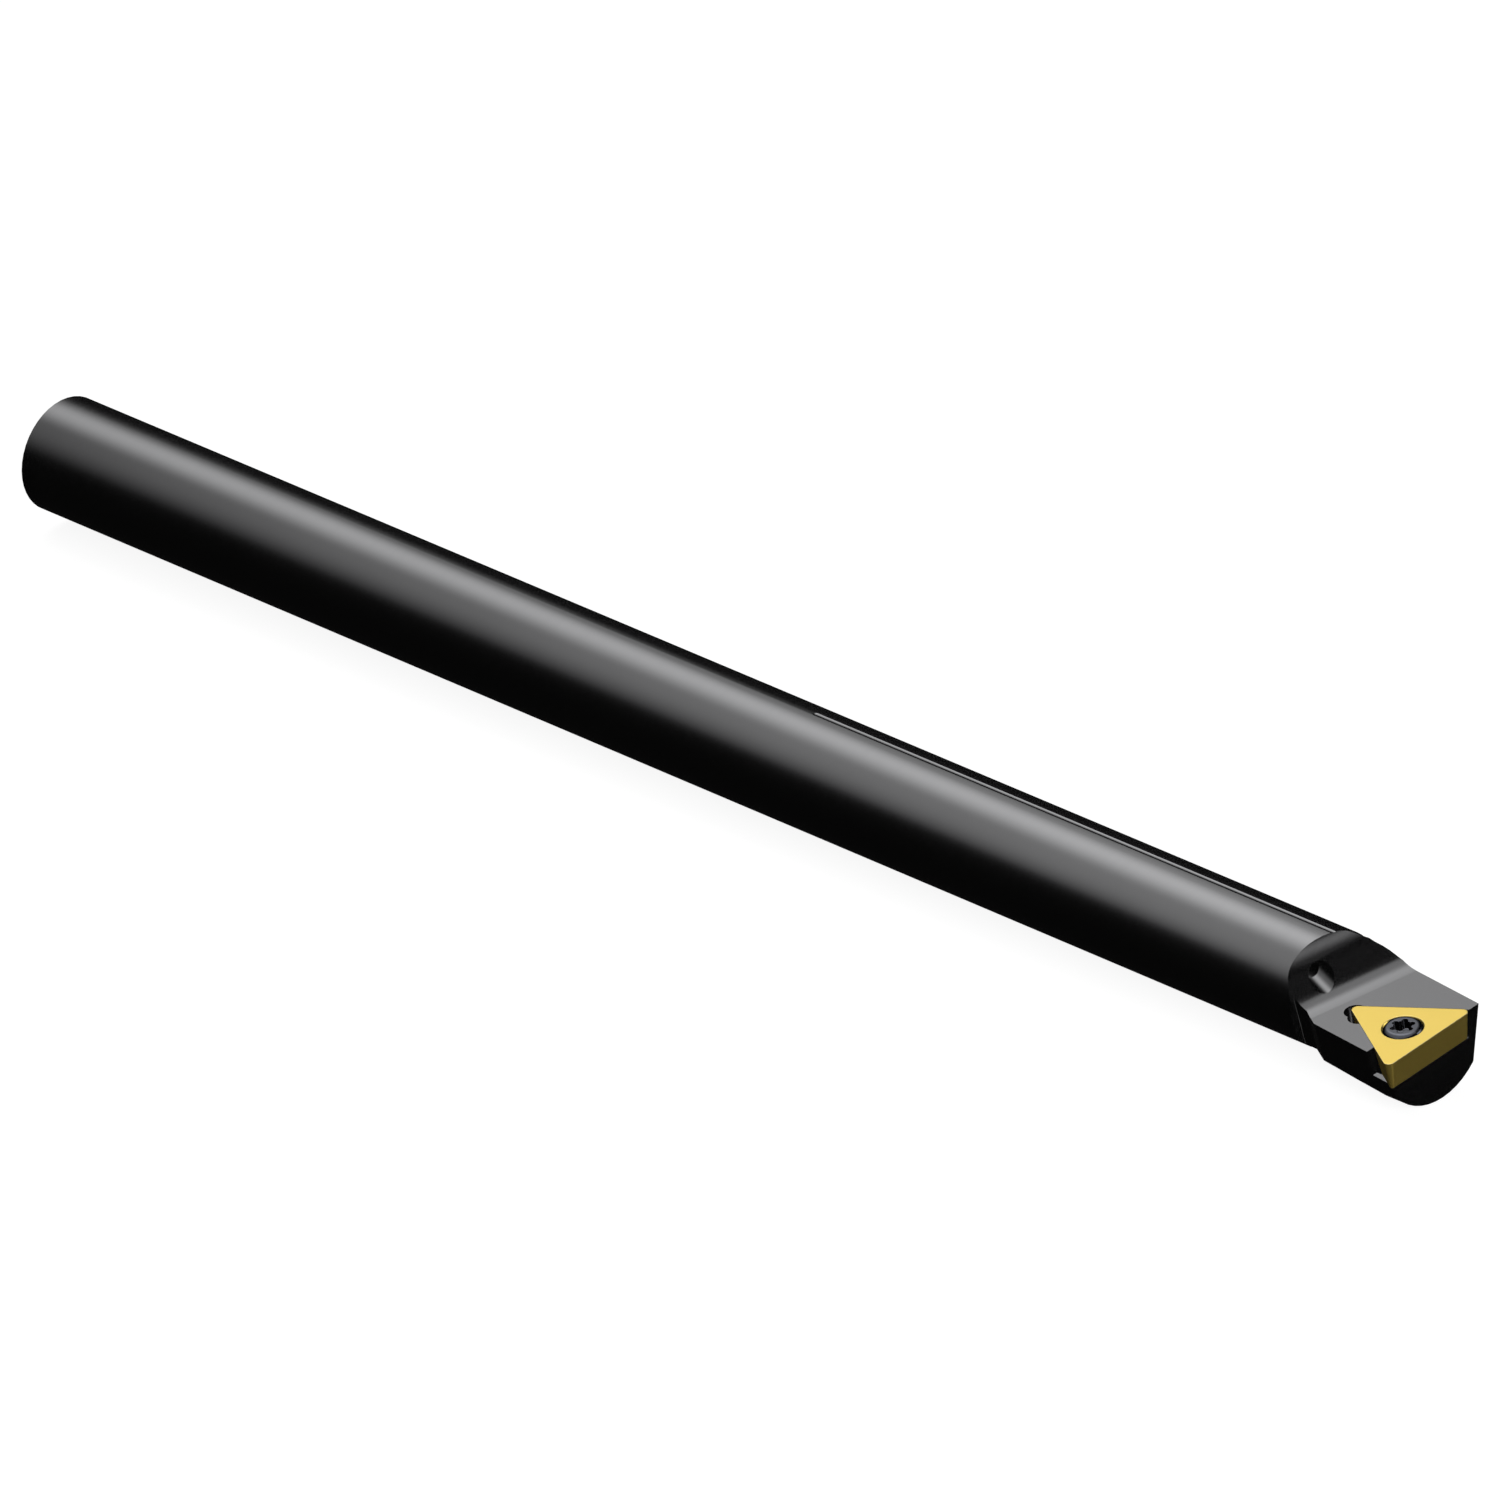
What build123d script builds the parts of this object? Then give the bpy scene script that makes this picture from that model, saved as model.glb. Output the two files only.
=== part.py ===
"""Left-hand boring bar with through coolant, a triangular insert and its clamping screw.

The frame: X runs along the axis of the shank, from the middle of the back face towards the head.
Z is up, and the cutting corner is on the -Y side.
"""
import os
from math import cos, radians, sin, tan

from build123d import *

os.makedirs("parts", exist_ok=True)

# Driving dimensions, in millimetres and degrees.

# Bar
overall_length = 254.0  # back face to the cutting corner
shank_diameter = 15.875
head_length = 17.9  # shoulder to the cutting corner
shoulder_length = 2.6
neck_length = 11.1
face_setback = 0.8  # front face behind the cutting corner
head_back_radius = 8.9
head_front_radius = 9.45
head_back_offset = 0.19  # head's section off the shank's axis, towards the cutting side
head_front_offset = 0.87

# Insert
insert_circle = 9.525  # inscribed circle
insert_thickness = 3.97
insert_clearance = 7.0
insert_corner_radius = 0.8
insert_hole = 4.4
insert_seat = 5.6  # mouth of the conical seat for the screw
seat_angle = 60.0

# Place of the cutting corner
corner_offset = 10.5  # sideways from the shank's axis
corner_drop = 1.0  # below the shank's axis
inclination = 9.5
approach_angle = 91.0

# Rake flat and the gullet that runs up to the shank
flat_drop = 0.1  # flat below the insert's top
gullet_reach = 16.74  # cutting corner to the end of the flat
gullet_turn = 12.5
gullet_floor_radius = 3.62
gullet_slope = 55.8
gullet_ramp = 2.54
gullet_wall_radius = 5.78

# Side flats of the head
head_swing = 5.4  # towards the cutting side
near_flat_across = 1.45  # cutting corner to the near edge of the rake flat
near_flat_draft = 8.2
far_flat_across = 18.0
far_flat_draft = 15.7
side_relief_behind = 1.7  # step of the relief beside the gullet, behind the shoulder
side_relief_depth = 1.39  # into the shank
side_relief_floor = 1.8
side_relief_slope = 28.5  # from its floor out to the near flat
side_relief_radius = 0.25
side_relief_tilt = 17.7  # towards the underside

# Pocket
wall_clearance = 0.02
notch_length = 4.9  # open length of the pocket beside the cutting corner
relief_radius = 1.54
relief_depth = 0.4  # below the pocket floor
relief_first = 1.6  # back corner of the pocket to the first relief, along the near wall
relief_pitch = 1.6
relief_inset = 0.42  # near wall to the middle of the reliefs

# Screw
thread_diameter = 4.0
thread_clearance = 0.05
screw_length = 8.6
screw_tip_chamfer = 0.4
head_clearance = 0.02
head_drop = 0.25  # rim of the head below the insert's top
head_rise = 0.28  # drive face of the head above it
head_land = 3.9
star_points = 3.35
star_roots = 2.4
star_lobe_radius = 0.42
star_depth = 1.5

# Coolant passage
coolant_bore = 5.0
coolant_inlet_chamfer = 0.6
coolant_turn = 227.8  # back face to where the outlet crosses over the bore
outlet_diameter = 3.6
outlet_height = 3.28  # outlet above the bore's axis there
outlet_overrun = 4.0  # drilled on past that place
outlet_swing = 21.4  # towards the cutting side
outlet_fall = 2.7
drill_point_angle = 118.0

# Shallow round-bottomed grooves: the line on top of the shank, and the ring behind the shoulder
line_width = 0.9
line_depth = 0.11
line_start = 139.8
line_offset = 0.23  # away from the cutting side
ring_width = 1.2
ring_depth = 0.18
ring_gap = 0.5  # ring groove to the shoulder

# Sizes and planes that follow from them.
shank_radius = shank_diameter / 2
shoulder_start = overall_length - head_length
neck_start = shoulder_start + shoulder_length
neck_end = neck_start + neck_length
front_face = overall_length - face_setback
line_radius = (line_width**2 / 4 + line_depth**2) / (2 * line_depth)
line_height = shank_radius + line_radius - line_depth
ring_radius = (ring_width**2 / 4 + ring_depth**2) / (2 * ring_depth)
ring_height = shank_radius + ring_radius - ring_depth
ring_centre = shoulder_start - ring_gap - ring_width / 2
clear_span = 2 * shank_diameter  # cuts made this large pass clear of the bar

rake_normal = Vector(0, -sin(radians(inclination)), cos(radians(inclination)))
corner_plane = Plane(
    origin=(overall_length, -corner_offset, -corner_drop), x_dir=(1, 0, 0), z_dir=rake_normal
)
# The corners of an equilateral triangle lie one inscribed diameter from its centre.
centre_heading = radians(approach_angle + 30)
insert_centre = corner_plane.from_local_coords(
    (insert_circle * cos(centre_heading), insert_circle * sin(centre_heading), 0)
)
insert_plane = Plane(origin=insert_centre, x_dir=(1, 0, 0), z_dir=rake_normal)
floor_plane = insert_plane.offset(-insert_thickness)
insert_rotation = approach_angle - 150
back_corner_heading = insert_rotation + 240
near_wall_heading = insert_rotation + 30
insert_axis = Axis(insert_plane.origin, insert_plane.z_dir)


def side_plane(across, from_corner, side, draft):
    """Plane of a side flat: through the edge of the rake flat, swung with the head and drafted inwards."""
    swing = radians(head_swing)
    lean = radians(draft)
    on_edge = corner_plane.from_local_coords((-from_corner, across, -flat_drop))
    along = corner_plane.from_local_coords((cos(swing), -sin(swing), 0)) - corner_plane.origin
    outward = (
        corner_plane.from_local_coords(
            (side * sin(swing) * cos(lean), side * cos(swing) * cos(lean), -sin(lean))
        )
        - corner_plane.origin
    )
    return Plane(origin=on_edge, x_dir=along, z_dir=outward)


near_plane = side_plane(near_flat_across, notch_length, -1, near_flat_draft)
far_plane = side_plane(far_flat_across, face_setback, 1, far_flat_draft)

# The gullet's profile is drawn across its run: x forwards along the flat, y up from it.
forwards = corner_plane.x_dir.rotate(Axis((0, 0, 0), rake_normal), -gullet_turn)
gullet_plane = Plane(
    origin=corner_plane.offset(-flat_drop).origin, x_dir=forwards, z_dir=forwards.cross(rake_normal)
)

with BuildPart() as bar:
    # Shank
    with BuildSketch(Plane.YZ):
        Circle(shank_radius)
    extrude(amount=shoulder_start)
    # Shoulder
    with BuildSketch(Plane.YZ.offset(shoulder_start)):
        Circle(shank_radius)
    with BuildSketch(Plane.YZ.offset(neck_start)):
        with Locations((-head_back_offset, 0)):
            Circle(head_back_radius)
    loft()
    # Neck
    with BuildSketch(Plane.YZ.offset(neck_start)):
        with Locations((-head_back_offset, 0)):
            Circle(head_back_radius)
    with BuildSketch(Plane.YZ.offset(neck_end)):
        with Locations((-head_front_offset, 0)):
            Circle(head_front_radius)
    loft()
    # Nose
    with BuildSketch(Plane.YZ.offset(neck_end)):
        with Locations((-head_front_offset, 0)):
            Circle(head_front_radius)
    extrude(amount=front_face - neck_end)

    # Side flats of the head
    for plane, from_corner in ((near_plane, notch_length), (far_plane, face_setback)):
        with BuildSketch(plane):
            with Locations((from_corner - head_length, 0)):
                Rectangle(clear_span + head_length, clear_span, align=(Align.MIN, Align.CENTER))
        extrude(amount=shank_diameter, mode=Mode.SUBTRACT)

    # Ring groove behind the shoulder
    with BuildSketch(Plane.XZ):
        with Locations((ring_centre, ring_height)):
            Circle(ring_radius)
    revolve(axis=Axis.X, mode=Mode.SUBTRACT)

    # Line groove along the top of the shank, with a ball end
    line_first = line_start + line_width / 2
    with BuildSketch(Plane.YZ.offset(line_first)):
        with Locations((line_offset, line_height)):
            Circle(line_radius)
    extrude(amount=ring_centre - line_first, mode=Mode.SUBTRACT)
    with Locations((line_first, line_offset, line_height)):
        Sphere(line_radius, mode=Mode.SUBTRACT)

    # Relief at the shoulder, milled from the cutting side: a step, a floor and a slope out of it
    with BuildSketch(Plane.XY.rotated((side_relief_tilt, 0, 0))):
        with BuildLine():
            step_foot = Vector(shoulder_start - side_relief_behind, side_relief_depth - shank_radius)
            slope_foot = step_foot + Vector(side_relief_floor, 0)
            slope_line = PolarLine(slope_foot, shank_diameter, angle=-side_relief_slope)
            step_top = (step_foot.X, (slope_line @ 1).Y)
            floor_lines = Polyline(slope_line @ 1, step_top, step_foot, slope_foot)
        make_face()
        fillet(floor_lines.vertices().sort_by_distance(step_foot)[0], side_relief_radius)
    extrude(amount=clear_span, both=True, mode=Mode.SUBTRACT)

    # Rake flat and gullet
    with BuildSketch(gullet_plane):
        with BuildLine():
            floor_end = (-gullet_reach, 0)
            floor_arc = JernArc(floor_end, (-1, 0), gullet_floor_radius, -gullet_slope)
            ramp = PolarLine(floor_arc @ 1, gullet_ramp, direction=floor_arc % 1)
            wall_arc = JernArc(ramp @ 1, ramp % 1, gullet_wall_radius, gullet_slope - 90)
            wall_top = wall_arc @ 1 + Vector(0, clear_span)
            Polyline(wall_arc @ 1, wall_top, (clear_span, wall_top.Y), (clear_span, 0), floor_end)
        make_face()
    extrude(amount=clear_span, both=True, mode=Mode.SUBTRACT)

    # Insert pocket
    with BuildSketch(insert_plane):
        RegularPolygon(insert_circle + 2 * wall_clearance, 3, rotation=insert_rotation)
    extrude(amount=-insert_thickness, taper=insert_clearance, mode=Mode.SUBTRACT)

    # Notch beside the cutting corner, down to the pocket floor
    with BuildSketch(corner_plane.offset(-insert_thickness)):
        near_wall = notch_length * tan(radians(120 - approach_angle))
        with Locations((-notch_length, near_wall)):
            Rectangle(clear_span, clear_span, align=(Align.MIN, Align.MAX))
    extrude(amount=clear_span, mode=Mode.SUBTRACT)

    # Relief for the back corner of the insert, drilled twice along the near wall
    back_corner = Rot(0, 0, back_corner_heading) * Pos(insert_circle, 0)
    near_wall_start = back_corner * Rot(0, 0, near_wall_heading - back_corner_heading)
    with BuildSketch(floor_plane.offset(-relief_depth)):
        with Locations(near_wall_start * Pos(relief_first, relief_inset)):
            with GridLocations(relief_pitch, 0, 2, 1, align=(Align.MIN, Align.CENTER)):
                Circle(relief_radius)
    extrude(amount=insert_thickness + relief_depth, mode=Mode.SUBTRACT)

    # Tapped hole for the screw, right through the head
    with Locations(floor_plane):
        Hole(thread_diameter / 2 + thread_clearance, depth=clear_span)

    # Coolant passage: a drilled bore on the axis, and the outlet that leaves it for the gullet
    with BuildSketch(Plane.XZ):
        with BuildLine():
            bore_radius = coolant_bore / 2
            mouth_radius = bore_radius + coolant_inlet_chamfer
            bore_end = coolant_turn + outlet_diameter
            point_length = bore_radius / tan(radians(drill_point_angle / 2))
            Polyline(
                (0, 0),
                (0, mouth_radius),
                (coolant_inlet_chamfer, bore_radius),
                (bore_end, bore_radius),
                (bore_end + point_length, 0),
                close=True,
            )
        make_face()
    revolve(axis=Axis.X, mode=Mode.SUBTRACT)
    outlet_direction = Vector(1, 0, 0).rotate(Axis.Y, outlet_fall).rotate(Axis.Z, -outlet_swing)
    outlet_start = Vector(coolant_turn, 0, outlet_height) - outlet_direction * outlet_overrun
    with BuildSketch(Plane(origin=outlet_start, z_dir=outlet_direction)):
        Circle(outlet_diameter / 2)
    extrude(amount=clear_span, mode=Mode.SUBTRACT)

bar.part.label = "bar"
export_step(bar.part, "parts/bar.step")

with BuildPart() as insert:
    with BuildSketch(insert_plane) as outline:
        RegularPolygon(insert_circle, 3, rotation=insert_rotation)
        fillet(outline.vertices(), insert_corner_radius)
    extrude(amount=-insert_thickness, taper=insert_clearance)
    with Locations(insert_plane):
        CounterSinkHole(insert_hole / 2, insert_seat / 2, counter_sink_angle=seat_angle)

insert.part.label = "insert"
export_step(insert.part, "parts/insert.step")

with BuildPart() as insert_screw:
    # Turned shape, drawn with x outwards and y along the screw's axis
    seat_slope = tan(radians(seat_angle / 2))
    head_radius = insert_seat / 2 - head_drop * seat_slope - head_clearance
    thread_radius = thread_diameter / 2
    cone_depth = head_drop + (head_radius - thread_radius) / seat_slope
    with BuildSketch(Plane(insert_plane.origin, x_dir=(1, 0, 0), z_dir=-insert_plane.y_dir)):
        with BuildLine():
            Line((head_land / 2, head_rise), (0, head_rise))
            Line((0, head_rise), (0, -screw_length))
            Polyline(
                (0, -screw_length),
                (thread_radius - screw_tip_chamfer, -screw_length),
                (thread_radius, screw_tip_chamfer - screw_length),
                (thread_radius, -cone_depth),
                (head_radius, -head_drop),
            )
            TangentArc((head_land / 2, head_rise), (head_radius, -head_drop), tangent=(1, 0))
        make_face()
    revolve(axis=insert_axis)
    # Six-lobed drive recess
    with BuildSketch(insert_plane.offset(head_rise)):
        Circle(star_roots / 2)
        with PolarLocations(star_points / 2 - star_lobe_radius, 6):
            Circle(star_lobe_radius)
    extrude(amount=-star_depth, mode=Mode.SUBTRACT)

insert_screw.part.label = "insert_screw"
export_step(insert_screw.part, "parts/insert_screw.step")
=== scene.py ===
import math
import bpy
import numpy as np
from mathutils import Matrix, Vector


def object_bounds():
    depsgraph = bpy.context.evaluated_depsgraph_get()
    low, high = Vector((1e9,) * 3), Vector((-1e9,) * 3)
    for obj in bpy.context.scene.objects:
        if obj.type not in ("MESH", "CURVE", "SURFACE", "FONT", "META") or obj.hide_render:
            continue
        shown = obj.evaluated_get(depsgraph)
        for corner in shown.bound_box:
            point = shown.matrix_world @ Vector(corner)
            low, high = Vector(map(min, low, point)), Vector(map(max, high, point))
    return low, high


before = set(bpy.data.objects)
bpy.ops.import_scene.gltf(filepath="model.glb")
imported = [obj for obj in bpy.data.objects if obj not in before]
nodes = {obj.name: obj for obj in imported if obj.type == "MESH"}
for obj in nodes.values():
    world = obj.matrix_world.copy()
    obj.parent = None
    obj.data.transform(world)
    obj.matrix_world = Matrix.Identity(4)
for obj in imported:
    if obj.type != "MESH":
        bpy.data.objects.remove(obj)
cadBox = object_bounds()
scene = bpy.context.scene
print("frame loaded:", ", ".join(sorted(nodes)))


# unit vector towards a compass direction: (sin a cos e, -cos a cos e, sin e), with a from -Y towards +X
def directionOf(azimuth, elevation):
    a, e = math.radians(azimuth), math.radians(elevation)
    return Vector((math.sin(a) * math.cos(e), -math.cos(a) * math.cos(e), math.sin(e)))


# rotation whose local Z is the given direction and whose local X is level
def lookFrom(direction):
    back = direction.normalized()
    right = Vector((0, 0, 1)).cross(back).normalized()
    return Matrix((right, back.cross(right), back)).transposed()


# long lens a few metres away, so the picture has hardly any perspective
camera = {
    "middle": (0.127, 0.0, 0.0),  # half way along the bar
    "azimuth": 45.0,  # degrees
    "elevation": 25.0,
    "distance": 4.866,  # metres
    "slide": (0.0009607, -0.0013531),  # right and up
    "lens": 896.5,  # millimetres
    "sensor": 36.0,
    "reach": 100.0,
}
cameraData = bpy.data.cameras.new("camera")
cameraData.lens = camera["lens"]
cameraData.sensor_width = camera["sensor"]
cameraData.clip_end = camera["reach"]
cameraObject = bpy.data.objects.new("camera", cameraData)
turn = lookFrom(directionOf(camera["azimuth"], camera["elevation"]))
place = Vector(camera["middle"]) + turn @ Vector((*camera["slide"], camera["distance"]))
cameraObject.matrix_world = Matrix.Translation(place) @ turn.to_4x4()
scene.collection.objects.link(cameraObject)
scene.camera = cameraObject
print("camera placed")

# rectangle lamps, power = radiance . pi . area; they light the floor and whatever is no mirror,
# and the metals mirror the panels further down instead
lamps = {
    "keyLamp": {"aim": (0.24, 0, 0), "azimuth": 250.0, "elevation": 55.0, "distance": 1.4,
                "size": (1.0, 1.0), "radiance": 1.2},
    "fillLamp": {"aim": (0.127, 0, 0), "azimuth": 318.0, "elevation": 65.0, "distance": 1.4,
                 "size": (1.0, 1.0), "radiance": 0.5},
    "frontLamp": {"aim": (0.24, 0, 0), "azimuth": 62.0, "elevation": 15.0, "distance": 1.0,
                  "size": (0.9, 0.9), "radiance": 3.6},
}
for name, lamp in lamps.items():
    data = bpy.data.lights.new(name, "AREA")
    data.shape = "RECTANGLE"
    data.size, data.size_y = lamp["size"]
    data.energy = lamp["radiance"] * math.pi * data.size * data.size_y
    towards = directionOf(lamp["azimuth"], lamp["elevation"])
    lampObject = bpy.data.objects.new(name, data)
    spot = Vector(lamp["aim"]) + towards * lamp["distance"]
    lampObject.matrix_world = Matrix.Translation(spot) @ lookFrom(towards).to_4x4()
    lampObject.visible_camera = False
    lampObject.visible_glossy = False
    scene.collection.objects.link(lampObject)
print("lamps placed:", len(lamps))


# a node of that kind, with its settings and the values of its input sockets
def addNode(tree, kind, settings=None, **values):
    node = tree.nodes.new("ShaderNode" + kind)
    for key, value in (settings or {}).items():
        setattr(node, key, value)
    for key, value in values.items():
        node.inputs[key].default_value = value
    return node


# 1 for a ray that sees the room straight or in a mirror, 0 for one that only carries light:
# max(camera, glossy, transmission)
def seenMask(tree):
    rays = addNode(tree, "LightPath")
    first = addNode(tree, "Math", {"operation": "MAXIMUM"})
    second = addNode(tree, "Math", {"operation": "MAXIMUM"})
    tree.links.new(rays.outputs["Is Camera Ray"], first.inputs[0])
    tree.links.new(rays.outputs["Is Glossy Ray"], first.inputs[1])
    tree.links.new(first.outputs[0], second.inputs[0])
    tree.links.new(rays.outputs["Is Transmission Ray"], second.inputs[1])
    return second.outputs[0]


# white room that gives only a little light of its own
room = {"seen": (1, 1, 1, 1), "light": (0.08, 0.08, 0.08, 1)}
world = bpy.data.worlds.new("room")
scene.world = world
world.use_nodes = True
world.cycles_visibility.glossy = False
tree = world.node_tree
tree.nodes.clear()
mix = addNode(tree, "MixShader")
light = addNode(tree, "Background", Color=room["light"])
seen = addNode(tree, "Background", Color=room["seen"])
tree.links.new(seenMask(tree), mix.inputs[0])
tree.links.new(light.outputs[0], mix.inputs[1])
tree.links.new(seen.outputs[0], mix.inputs[2])
tree.links.new(mix.outputs[0], addNode(tree, "OutputWorld").inputs[0])
print("world made")


# mesh object from an array of points and a list of faces
def meshPiece(name, points, faces, material):
    mesh = bpy.data.meshes.new(name)
    mesh.from_pydata(points.tolist(), [], faces)
    mesh.materials.append(material)
    piece = bpy.data.objects.new(name, mesh)
    scene.collection.objects.link(piece)
    return piece


floor = {
    "half": 6.0,
    "drop": 0.0001,  # below the lowest point of the bar
    "glow": 0.9,
    "seenColour": (0.35, 0.35, 0.35, 1),
    "lightColour": (0.3, 0.3, 0.3, 1),
}
floorMaterial = bpy.data.materials.new("paleFloor")
floorMaterial.use_nodes = True
tree = floorMaterial.node_tree
tree.nodes.clear()
mix = addNode(tree, "MixShader")
plain = addNode(tree, "BsdfDiffuse", Color=floor["lightColour"])
shown = addNode(tree, "AddShader")
glow = addNode(tree, "Emission", Strength=floor["glow"])
pale = addNode(tree, "BsdfDiffuse", Color=floor["seenColour"])
tree.links.new(glow.outputs[0], shown.inputs[0])
tree.links.new(pale.outputs[0], shown.inputs[1])
tree.links.new(seenMask(tree), mix.inputs[0])
tree.links.new(plain.outputs[0], mix.inputs[1])
tree.links.new(shown.outputs[0], mix.inputs[2])
tree.links.new(mix.outputs[0], addNode(tree, "OutputMaterial").inputs[0])
half, level = floor["half"], cadBox[0].z - floor["drop"]
corners = np.array([(-half, -half, level), (half, -half, level), (half, half, level), (-half, half, level)])
floorPiece = meshPiece("floor", corners, [(0, 1, 2, 3)], floorMaterial)
floorPiece.visible_glossy = False
print("floor laid")


# keeps a stage piece for mirrors alone: it lights nothing, and the camera doesn't see it straight
def forMirrors(piece):
    piece.visible_camera = False
    piece.visible_diffuse = False
    piece.visible_shadow = False
    piece.visible_transmission = False
    piece.visible_volume_scatter = False
    piece.active_material.cycles.emission_sampling = "NONE"


# ball of points R (cos u cos t, sin u cos t, sin t), with a pole at each end
def ball(radius, columns, rows):
    u = np.linspace(0, 2 * np.pi, columns, endpoint=False)[None, :]
    t = np.linspace(-np.pi / 2, np.pi / 2, rows + 1)[1:-1, None]
    x, y, z = np.cos(u) * np.cos(t), np.sin(u) * np.cos(t), np.sin(t) + 0 * u
    ring = np.stack((x, y, z), axis=-1).reshape(-1, 3)
    points = radius * np.vstack((ring, [(0, 0, -1), (0, 0, 1)]))
    grid = np.arange(len(ring)).reshape(rows - 1, columns)
    turned = np.roll(grid, -1, axis=1)
    sides = np.stack((grid[:-1], turned[:-1], turned[1:], grid[1:]), axis=-1).reshape(-1, 4).tolist()
    low = [(len(ring), b, a) for a, b in zip(grid[0].tolist(), turned[0].tolist())]
    high = [(len(ring) + 1, a, b) for a, b in zip(grid[-1].tolist(), turned[-1].tolist())]
    return points, sides + low + high


# dark cloth all round, which steel mirrors as its dark parts
drape = {"radius": 4.0, "columns": 48, "rows": 24, "glow": 0.006}
drapeMaterial = bpy.data.materials.new("darkCloth")
drapeMaterial.use_nodes = True
tree = drapeMaterial.node_tree
tree.nodes.clear()
cloth = addNode(tree, "Emission", Strength=drape["glow"])
tree.links.new(cloth.outputs[0], addNode(tree, "OutputMaterial").inputs[0])
forMirrors(meshPiece("drape", *ball(drape["radius"], drape["columns"], drape["rows"]), drapeMaterial))
print("drape hung")


# lit panels in front of the cloth, which steel mirrors as its light parts; where two overlap, they add up
panels = {
    "keyPanel": {"aim": (0.236, 0, 0), "azimuth": 246.7, "elevation": 60.8, "distance": 1.5,
                 "half": (0.878, 1.243), "soft": 0.9, "radiance": 1.74},
    "fillPanel": {"aim": (1.127, 0, 0), "azimuth": 304.6, "elevation": 50.4, "distance": 0.813,
                  "half": (0.839, 0.92), "soft": 0.282, "radiance": 0.65},
    "lowPanel": {"aim": (0.236, 0, 0), "azimuth": 103.5, "elevation": -17.7, "distance": 1.0,
                 "half": (0.186, 0.608), "soft": 0.612, "radiance": 5.67},
    "rearPanel": {"aim": (0.127, 0, 0), "azimuth": 138.0, "elevation": 20.0, "distance": 1.2,
                  "half": (0.48, 0.42), "soft": 0.42, "radiance": 2.4},
}


# soft panel, seen through where it is dark:
# glow = radiance . smoothstep((a - |x|) / soft) . smoothstep((b - |y|) / soft)
def panelMaterial(name, panel):
    material = bpy.data.materials.new(name)
    material.use_nodes = True
    tree = material.node_tree
    tree.nodes.clear()
    place = addNode(tree, "TexCoord")
    parts = addNode(tree, "SeparateXYZ")
    tree.links.new(place.outputs["Object"], parts.inputs[0])
    both = addNode(tree, "Math", {"operation": "MULTIPLY"})
    for index, reach in enumerate(panel["half"]):
        far = addNode(tree, "Math", {"operation": "ABSOLUTE"})
        fade = addNode(tree, "MapRange", {"interpolation_type": "SMOOTHSTEP"})
        fade.inputs["From Min"].default_value = reach
        fade.inputs["From Max"].default_value = reach - panel["soft"]
        tree.links.new(parts.outputs[index], far.inputs[0])
        tree.links.new(far.outputs[0], fade.inputs["Value"])
        tree.links.new(fade.outputs[0], both.inputs[index])
    strength = addNode(tree, "Math", {"operation": "MULTIPLY"})
    strength.inputs[1].default_value = panel["radiance"]
    glow = addNode(tree, "Emission")
    through = addNode(tree, "BsdfTransparent")
    added = addNode(tree, "AddShader")
    tree.links.new(both.outputs[0], strength.inputs[0])
    tree.links.new(strength.outputs[0], glow.inputs["Strength"])
    tree.links.new(glow.outputs[0], added.inputs[0])
    tree.links.new(through.outputs[0], added.inputs[1])
    tree.links.new(added.outputs[0], addNode(tree, "OutputMaterial").inputs[0])
    return material


for name, panel in panels.items():
    wide, high = panel["half"]
    corners = np.array([(-wide, -high, 0), (wide, -high, 0), (wide, high, 0), (-wide, high, 0)])
    towards = directionOf(panel["azimuth"], panel["elevation"])
    piece = meshPiece(name, corners, [(0, 1, 2, 3)], panelMaterial(name, panel))
    spot = Vector(panel["aim"]) + towards * panel["distance"]
    piece.matrix_world = Matrix.Translation(spot) @ lookFrom(towards).to_4x4()
    forMirrors(piece)
print("panels hung:", len(panels))


# empty group with named sockets: each input is (name, kind, value), each output (name, kind)
def newGroup(name, inputs, outputs):
    group = bpy.data.node_groups.new(name, "ShaderNodeTree")
    for label, kind, value in inputs:
        socket = group.interface.new_socket(label, in_out="INPUT", socket_type="NodeSocket" + kind)
        if value is not None:
            socket.default_value = value
    for label, kind in outputs:
        group.interface.new_socket(label, in_out="OUTPUT", socket_type="NodeSocket" + kind)
    return group, group.nodes.new("NodeGroupInput"), group.nodes.new("NodeGroupOutput")


markShape = {
    "noise": {"Scale": 1.0, "Detail": 4.0, "Roughness": 0.6},
    "faint": 0.35,  # height at which streaks start
    "full": 0.7,  # and at which they are full
}


# marks left by a tool that turns about X: noise that changes fast along X and slowly round it,
# height = noise(x / spacing, (y, z) / length), streak = the same pushed towards 0 and 1
def makeToolMarks():
    group, given, made = newGroup(
        "toolMarks",
        [("Vector", "Vector", None), ("Spacing", "Float", 0.0003), ("Length", "Float", 0.02)],
        [("Height", "Float"), ("Streak", "Float")],
    )
    parts = addNode(group, "SeparateXYZ")
    joined = addNode(group, "CombineXYZ")
    group.links.new(given.outputs["Vector"], parts.inputs[0])
    for index, step in enumerate(("Spacing", "Length", "Length")):
        share = addNode(group, "Math", {"operation": "DIVIDE"})
        group.links.new(parts.outputs[index], share.inputs[0])
        group.links.new(given.outputs[step], share.inputs[1])
        group.links.new(share.outputs[0], joined.inputs[index])
    noise = addNode(group, "TexNoise", **markShape["noise"])
    push = addNode(group, "MapRange", {"interpolation_type": "SMOOTHSTEP"})
    push.inputs["From Min"].default_value = markShape["faint"]
    push.inputs["From Max"].default_value = markShape["full"]
    group.links.new(joined.outputs[0], noise.inputs["Vector"])
    group.links.new(noise.outputs["Fac"], push.inputs["Value"])
    group.links.new(noise.outputs["Fac"], made.inputs["Height"])
    group.links.new(push.outputs[0], made.inputs["Streak"])
    return group


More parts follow.
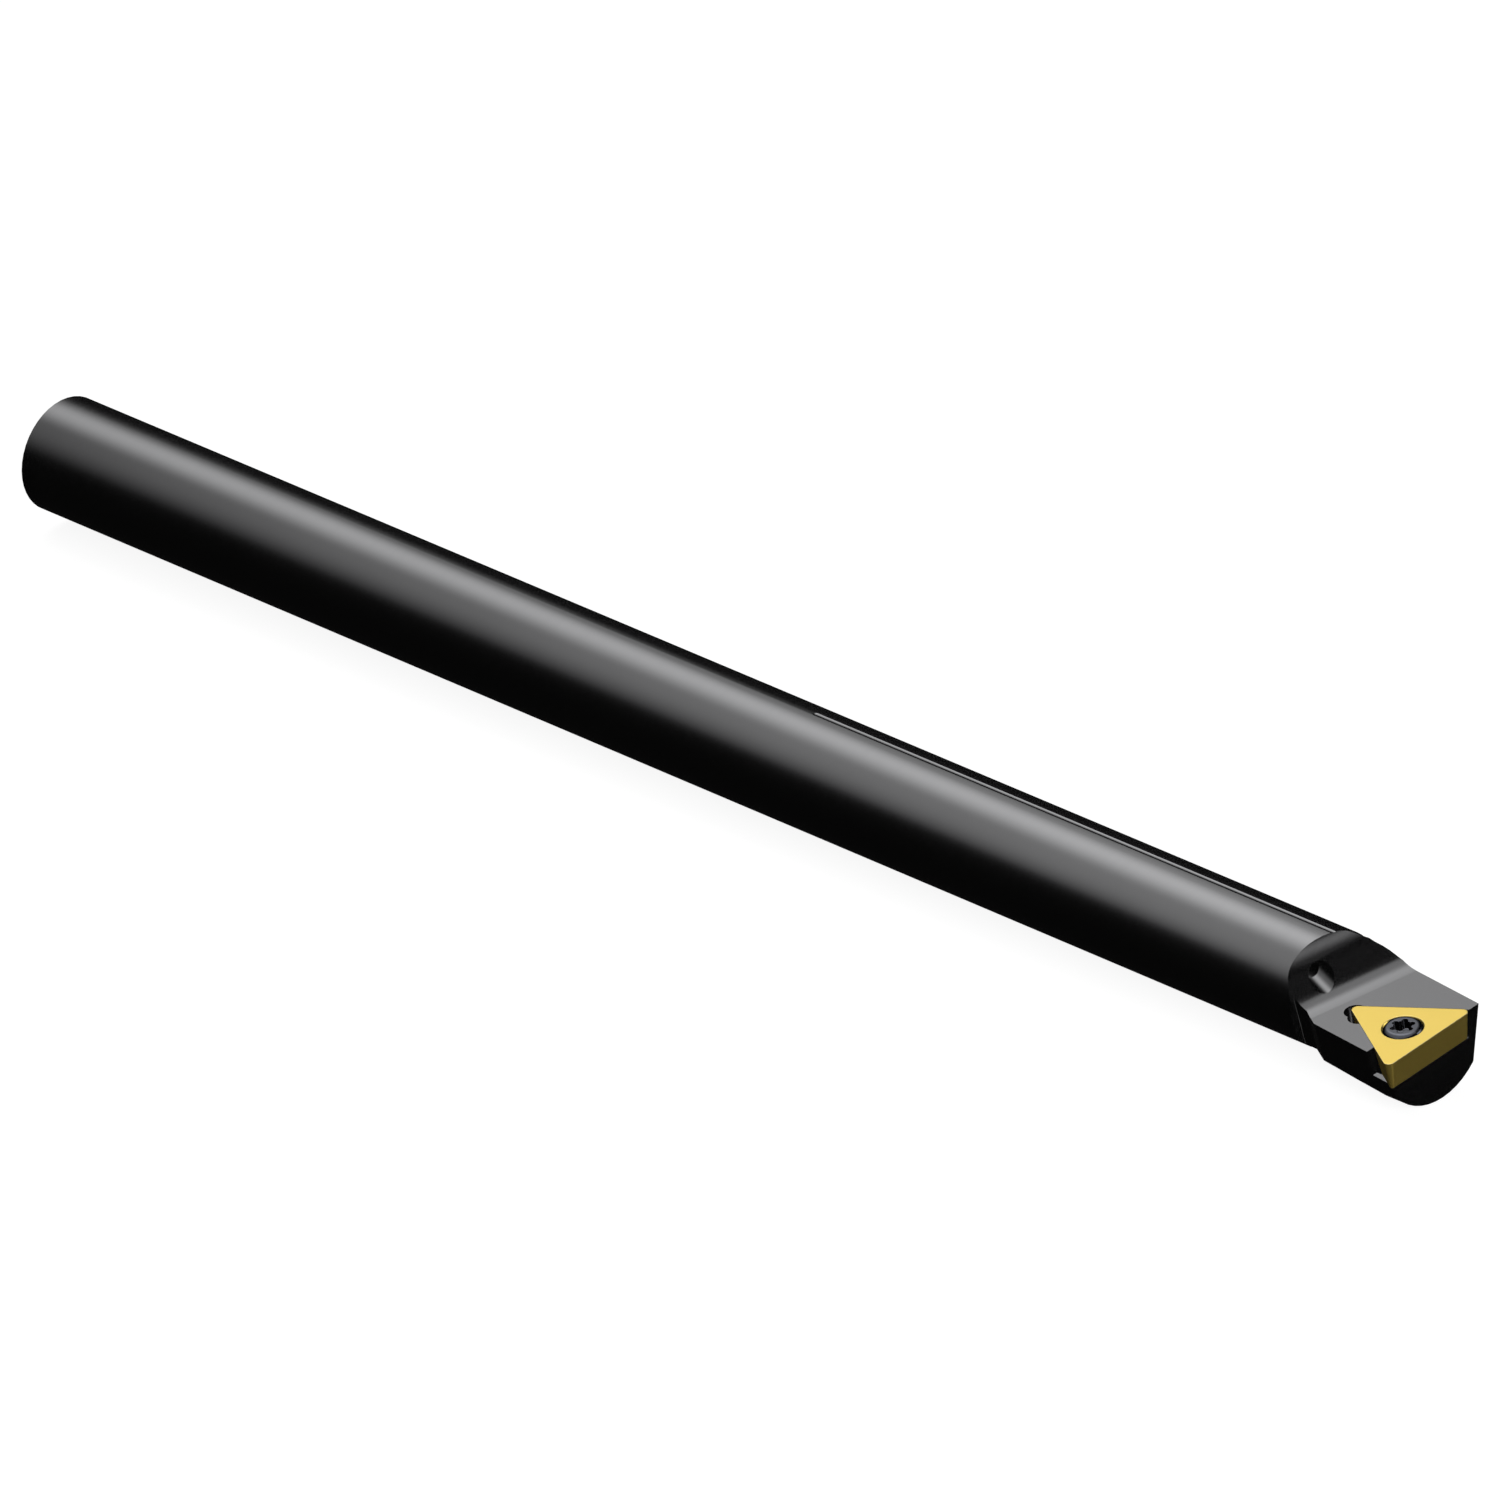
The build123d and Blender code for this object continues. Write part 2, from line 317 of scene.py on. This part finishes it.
# shape of the lighter edges, which are partly wear and partly a painted highlight
wearAndHighlightShape = {
    "samples": 8,
    "blunt": 0.995,  # cosine between the two normals where wear and painted highlight start
    "sharp": 0.9,  # and where it is full
    "noise": {"Scale": 900.0, "Detail": 3.0},
    "low": 0.3,  # noise at which an edge keeps all its wear and painted highlight
    "high": 0.7,  # and at which it loses the share named Break
}


# rubbed edges with a painted highlight: normal = average of the normals within a radius,
# mask of wear and painted highlight = smoothstep of (that normal . own normal) from blunt to sharp, broken
# up by noise
def makeEdgeWearAndHighlight():
    group, given, made = newGroup(
        "edgeWear",
        [("Vector", "Vector", None), ("Radius", "Float", 0.0002), ("Break", "Float", 0.4)],
        [("Mask", "Float"), ("Normal", "Vector")],
    )
    bevel = addNode(group, "Bevel", {"samples": wearAndHighlightShape["samples"]})
    own = addNode(group, "NewGeometry")
    dot = addNode(group, "VectorMath", {"operation": "DOT_PRODUCT"})
    ramp = addNode(group, "MapRange", {"interpolation_type": "SMOOTHSTEP"})
    ramp.inputs["From Min"].default_value = wearAndHighlightShape["blunt"]
    ramp.inputs["From Max"].default_value = wearAndHighlightShape["sharp"]
    noise = addNode(group, "TexNoise", **wearAndHighlightShape["noise"])
    keep = addNode(group, "MapRange")
    keep.inputs["From Min"].default_value = wearAndHighlightShape["low"]
    keep.inputs["From Max"].default_value = wearAndHighlightShape["high"]
    broken = addNode(group, "Math", {"operation": "MULTIPLY"})
    cut = addNode(group, "Math", {"operation": "SUBTRACT"})
    cut.inputs[0].default_value = 1.0
    wearAndHighlightMask = addNode(group, "Math", {"operation": "MULTIPLY"})
    group.links.new(given.outputs["Radius"], bevel.inputs["Radius"])
    group.links.new(bevel.outputs[0], dot.inputs[0])
    group.links.new(own.outputs["Normal"], dot.inputs[1])
    group.links.new(dot.outputs["Value"], ramp.inputs["Value"])
    group.links.new(given.outputs["Vector"], noise.inputs["Vector"])
    group.links.new(noise.outputs["Fac"], keep.inputs["Value"])
    group.links.new(keep.outputs[0], broken.inputs[0])
    group.links.new(given.outputs["Break"], broken.inputs[1])
    group.links.new(broken.outputs[0], cut.inputs[1])
    group.links.new(ramp.outputs[0], wearAndHighlightMask.inputs[0])
    group.links.new(cut.outputs[0], wearAndHighlightMask.inputs[1])
    group.links.new(wearAndHighlightMask.outputs[0], made.inputs["Mask"])
    group.links.new(bevel.outputs[0], made.inputs["Normal"])
    return group


filmShape = {
    "wide": {"Detail": 2.0, "Roughness": 0.5},
    "fine": {"Detail": 4.0, "Roughness": 0.6},
    "finer": 9.0,  # times the scale of the wide one
    "share": 0.35,  # of the fine one
}


# thin uneven film, as of oil: two sizes of soft noise, patch = (1 - share) wide + share fine
def makeFilm():
    group, given, made = newGroup(
        "film",
        [("Vector", "Vector", None), ("Scale", "Float", 60.0)],
        [("Patch", "Float")],
    )
    wide = addNode(group, "TexNoise", **filmShape["wide"])
    finer = addNode(group, "Math", {"operation": "MULTIPLY"})
    finer.inputs[1].default_value = filmShape["finer"]
    fine = addNode(group, "TexNoise", **filmShape["fine"])
    blend = addNode(group, "Mix", {"data_type": "FLOAT"})
    blend.inputs[0].default_value = filmShape["share"]
    group.links.new(given.outputs["Vector"], wide.inputs["Vector"])
    group.links.new(given.outputs["Vector"], fine.inputs["Vector"])
    group.links.new(given.outputs["Scale"], wide.inputs["Scale"])
    group.links.new(given.outputs["Scale"], finer.inputs[0])
    group.links.new(finer.outputs[0], fine.inputs["Scale"])
    group.links.new(wide.outputs["Fac"], blend.inputs[2])
    group.links.new(fine.outputs["Fac"], blend.inputs[3])
    group.links.new(blend.outputs[0], made.inputs["Patch"])
    return group


groups = {"marks": makeToolMarks(), "wearAndHighlight": makeEdgeWearAndHighlight(), "film": makeFilm()}
print("shader groups made:", len(groups))


# a metal: colour = film between two shades, then lighter edges over it, partly wear and partly a painted
# highlight;
# roughness = film's range + streaks; bump = tool marks, on rounded edges where the look is softened
def metal(name, look):
    material = bpy.data.materials.new(name)
    material.use_nodes = True
    tree = material.node_tree
    shader = tree.nodes["Principled BSDF"]
    shader.inputs["Metallic"].default_value = look["metallic"]
    place = addNode(tree, "TexCoord")
    used = {}
    for key, group in groups.items():
        node = tree.nodes.new("ShaderNodeGroup")
        node.node_tree = group
        for label, value in look[key].items():
            node.inputs[label].default_value = value
        tree.links.new(place.outputs["Object"], node.inputs["Vector"])
        used[key] = node
    shade = addNode(tree, "Mix", {"data_type": "RGBA"})
    shade.inputs[6].default_value = look["dark"]
    shade.inputs[7].default_value = look["light"]
    tree.links.new(used["film"].outputs["Patch"], shade.inputs[0])
    # lighter edge colour laid over the metal: partly wear, partly a painted highlight
    edge = addNode(tree, "Mix", {"data_type": "RGBA"})
    edge.inputs[7].default_value = look["edge"]
    tree.links.new(used["wearAndHighlight"].outputs["Mask"], edge.inputs[0])
    tree.links.new(shade.outputs[2], edge.inputs[6])
    tree.links.new(edge.outputs[2], shader.inputs["Base Color"])
    spread = addNode(tree, "MapRange")
    spread.inputs["To Min"].default_value = look["roughness"][0]
    spread.inputs["To Max"].default_value = look["roughness"][1]
    tree.links.new(used["film"].outputs["Patch"], spread.inputs["Value"])
    streaked = addNode(tree, "Math", {"operation": "MULTIPLY_ADD"})
    streaked.inputs[1].default_value = look["streak"]
    tree.links.new(used["marks"].outputs["Streak"], streaked.inputs[0])
    tree.links.new(spread.outputs[0], streaked.inputs[2])
    tree.links.new(streaked.outputs[0], shader.inputs["Roughness"])
    bump = addNode(tree, "Bump", Strength=1.0, Distance=look["bump"])
    tree.links.new(used["marks"].outputs["Height"], bump.inputs["Height"])
    if look["softened"]:
        tree.links.new(used["wearAndHighlight"].outputs["Normal"], bump.inputs["Normal"])
    tree.links.new(bump.outputs[0], shader.inputs["Normal"])
    return material


# the three metals, one to each node
# each edge colour is lighter than its metal: partly wear, partly a painted highlight along the edges
looks = {
    "bar": {
        "name": "darkSteel",
        "dark": (0.21, 0.21, 0.214, 1), "light": (0.232, 0.232, 0.236, 1), "edge": (0.3, 0.3, 0.3, 1),
        "metallic": 1.0, "roughness": (0.22, 0.25), "streak": 0.02, "bump": 0.0000015, "softened": False,
        "marks": {"Spacing": 0.0003, "Length": 0.02},
        "wearAndHighlight": {"Radius": 0.00012, "Break": 0.6},
        "film": {"Scale": 60.0},
    },
    "insert": {
        "name": "goldCoating",
        "dark": (0.96, 0.70, 0.15, 1), "light": (1.0, 0.745, 0.17, 1), "edge": (1.0, 0.87, 0.5, 1),
        "metallic": 0.88, "roughness": (0.27, 0.33), "streak": 0.02, "bump": 0.000001, "softened": True,
        "marks": {"Spacing": 0.0002, "Length": 0.004},
        "wearAndHighlight": {"Radius": 0.00015, "Break": 0.3},
        "film": {"Scale": 250.0},
    },
    "insert_screw": {
        "name": "bluedSteel",
        "dark": (0.095, 0.1, 0.117, 1), "light": (0.12, 0.125, 0.142, 1), "edge": (0.3, 0.31, 0.34, 1),
        "metallic": 1.0, "roughness": (0.2, 0.26), "streak": 0.03, "bump": 0.000001, "softened": True,
        "marks": {"Spacing": 0.00015, "Length": 0.003},
        "wearAndHighlight": {"Radius": 0.0001, "Break": 0.4},
        "film": {"Scale": 300.0},
    },
}
for node, look in looks.items():
    slots = nodes[node].data.materials
    slots.clear()
    slots.append(metal(look["name"], look))
    nodes[node].visible_glossy = False  # the metals mirror the panels and the cloth, and not each other
    print("finished:", node)

scene.view_settings.view_transform = "Standard"
